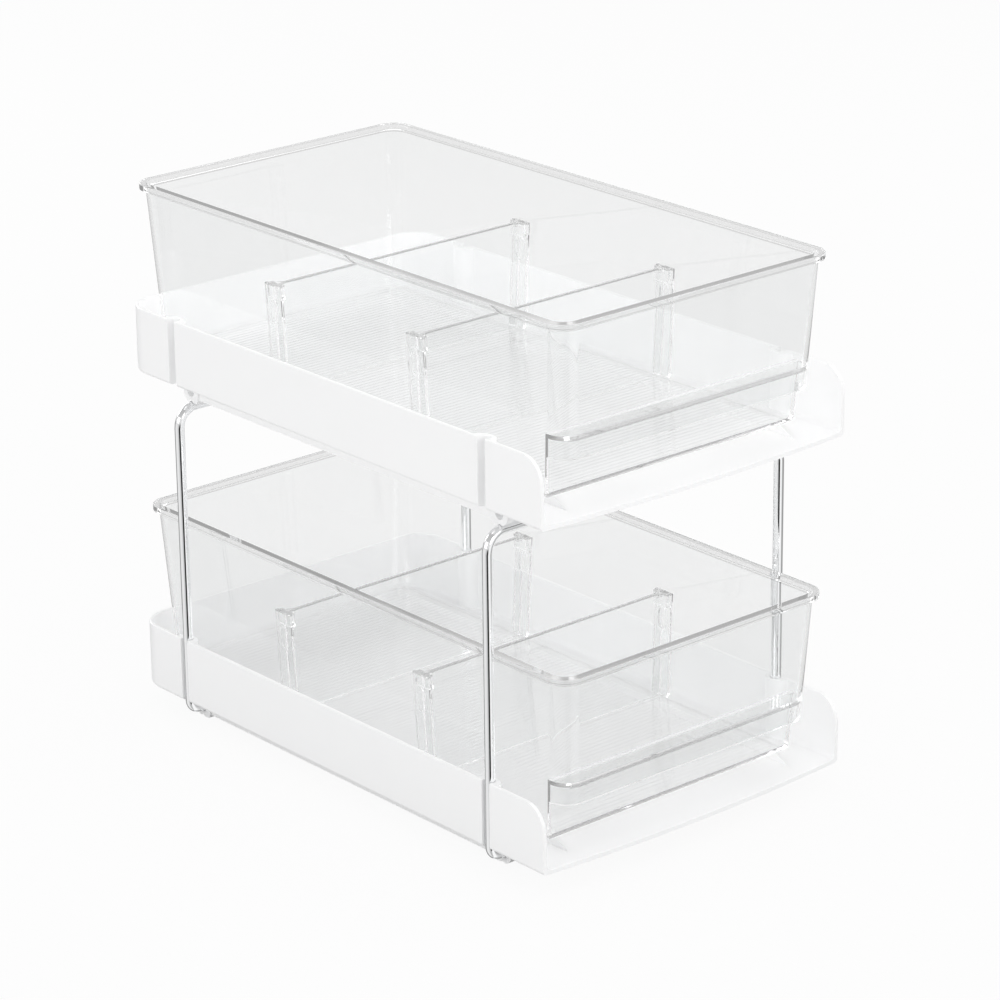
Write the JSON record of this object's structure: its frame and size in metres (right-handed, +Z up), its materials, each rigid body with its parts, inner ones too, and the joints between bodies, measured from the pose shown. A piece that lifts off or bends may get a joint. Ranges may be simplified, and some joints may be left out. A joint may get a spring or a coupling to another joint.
{
  "type": "drawer organizer tray",
  "caption": "Tiered drawer organizer: open-front white trays joined by bent wire hoops carry clear pull-out bins with finger pulls and lift-out dividers.",
  "frame": {"origin": "centre of the footprint, on the surface the lower tray's lugs stand on", "axes": "+Z up, -Y towards the side the bins pull out of, +X to the right seen from the front"},
  "size_m": [0.231, 0.3882, 0.3297],
  "materials": {
    "white_plastic": "white, smooth moulded gloss",
    "clear_plastic": "clear, polished moulded plastic",
    "chrome_wire": "bright plated wire"
  },
  "bodies": {
    "stand": {"lower_tray": "white_plastic", "upper_tray": "white_plastic", "front_hoop": "chrome_wire", "rear_hoop": "chrome_wire"},
    "lower_bin": {"lower_drawer": "clear_plastic"},
    "lower_front_insert": {"lower_front_divider": "clear_plastic"},
    "lower_rear_insert": {"lower_rear_divider": "clear_plastic"},
    "upper_bin": {"upper_drawer": "clear_plastic"},
    "upper_front_insert": {"upper_front_divider": "clear_plastic"},
    "upper_rear_insert": {"upper_rear_divider": "clear_plastic"}
  },
  "joints": [
    {"name": "lower_bin_slide", "type": "slide", "parent": "stand", "child": "lower_bin", "axis": [0, -1, 0], "range_m": [0, 0.2]},
    {"name": "upper_bin_slide", "type": "slide", "parent": "stand", "child": "upper_bin", "axis": [0, -1, 0], "range_m": [0, 0.2]},
    {"name": "lower_front_divider_lift", "type": "slide", "parent": "lower_bin", "child": "lower_front_insert", "axis": [0, 0, 1], "range_m": [0, 0.105]},
    {"name": "lower_rear_divider_lift", "type": "slide", "parent": "lower_bin", "child": "lower_rear_insert", "axis": [0, 0, 1], "range_m": [0, 0.105]},
    {"name": "upper_front_divider_lift", "type": "slide", "parent": "upper_bin", "child": "upper_front_insert", "axis": [0, 0, 1], "range_m": [0, 0.105]},
    {"name": "upper_rear_divider_lift", "type": "slide", "parent": "upper_bin", "child": "upper_rear_insert", "axis": [0, 0, 1], "range_m": [0, 0.105]}
  ]
}
